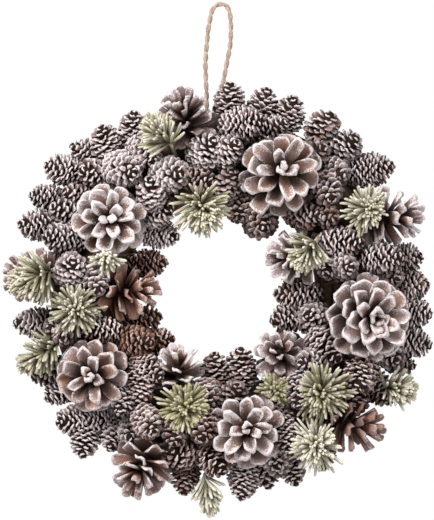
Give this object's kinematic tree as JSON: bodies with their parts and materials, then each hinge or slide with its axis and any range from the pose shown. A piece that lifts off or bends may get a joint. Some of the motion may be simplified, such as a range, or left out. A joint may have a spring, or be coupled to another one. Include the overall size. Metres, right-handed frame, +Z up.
{
  "type": "pinecone wreath",
  "caption": "Round wall wreath of frosted pinecones and flocked needle sprigs glued to a vine ring with a flat back, hung from a loop of jute rope.",
  "frame": {"origin": "where the nail or hook carries the inside top of the rope loop, in the plane of the rope", "axes": "+Z up, -Y out of the wall towards the viewer, +X to the viewer's right; the wall is the plane y = 0.0045 m"},
  "size_m": [0.3717, 0.0942, 0.4447],
  "materials": {
    "vine": "rough bark, matte",
    "jute_rope": "twisted jute, matte",
    "frosted_cone": "woody scales under white frosting, matte",
    "brown_cone": "woody scales with a thin frost on the rims, matte",
    "small_cone": "woody scales with a grey-white frost on the rims, matte",
    "frosted_needles": "flocked sage green, matte"
  },
  "bodies": {
    "root": {"vine_ring": "vine", "hanging_rope": "jute_rope", "large_cone_top_right": "frosted_cone", "large_cone_top_left": "frosted_cone", "large_cone_right": "frosted_cone", "large_cone_left": "frosted_cone", "large_cone_bottom": "frosted_cone", "open_cone_top": "brown_cone", "open_cone_right": "brown_cone", "open_cone_left_inner": "brown_cone", "open_cone_right_inner": "brown_cone", "open_cone_bottom_inner": "brown_cone", "open_cone_bottom_left_inner": "brown_cone", "open_cone_bottom_right": "brown_cone", "open_cone_bottom_left": "brown_cone", "open_cone_left": "brown_cone", "bunch_top": "small_cone", "bunch_top_right": "small_cone", "bunch_right_inner_top": "small_cone", "bunch_top_middle": "small_cone", "bunch_inner_top": "small_cone", "bunch_right_front": "small_cone", "bunch_right_middle": "small_cone", "bunch_right_outer": "small_cone", "bunch_right_low": "small_cone", "bunch_inner_right": "small_cone", "bunch_inner_right_low": "small_cone", "bunch_lower_right": "small_cone", "bunch_bottom_right": "small_cone", "bunch_bottom": "small_cone", "bunch_bottom_right_outer": "small_cone", "bunch_bottom_inner": "small_cone", "bunch_bottom_middle": "small_cone", "bunch_lower_left_inner": "small_cone", "bunch_bottom_left": "small_cone", "bunch_lower_left": "small_cone", "bunch_left_low": "small_cone", "bunch_left": "small_cone", "bunch_left_inner_top": "small_cone", "bunch_left_inner": "small_cone", "bunch_left_front": "small_cone", "bunch_upper_left_outer": "small_cone", "bunch_upper_left": "small_cone", "bunch_upper_left_front": "small_cone", "bunch_inner_left_top": "small_cone", "bunch_inner_left": "small_cone", "sprig_top_left": "frosted_needles", "sprig_inner_top": "frosted_needles", "sprig_right": "frosted_needles", "sprig_inner_right": "frosted_needles", "sprig_left": "frosted_needles", "sprig_left_front": "frosted_needles", "sprig_left_small": "frosted_needles", "sprig_left_low": "frosted_needles", "sprig_bottom_left": "frosted_needles", "sprig_bottom_small": "frosted_needles", "sprig_bottom_right": "frosted_needles", "sprig_bottom_right_low": "frosted_needles", "sprig_right_low": "frosted_needles", "sprig_bottom": "frosted_needles"}
  },
  "joints": []
}
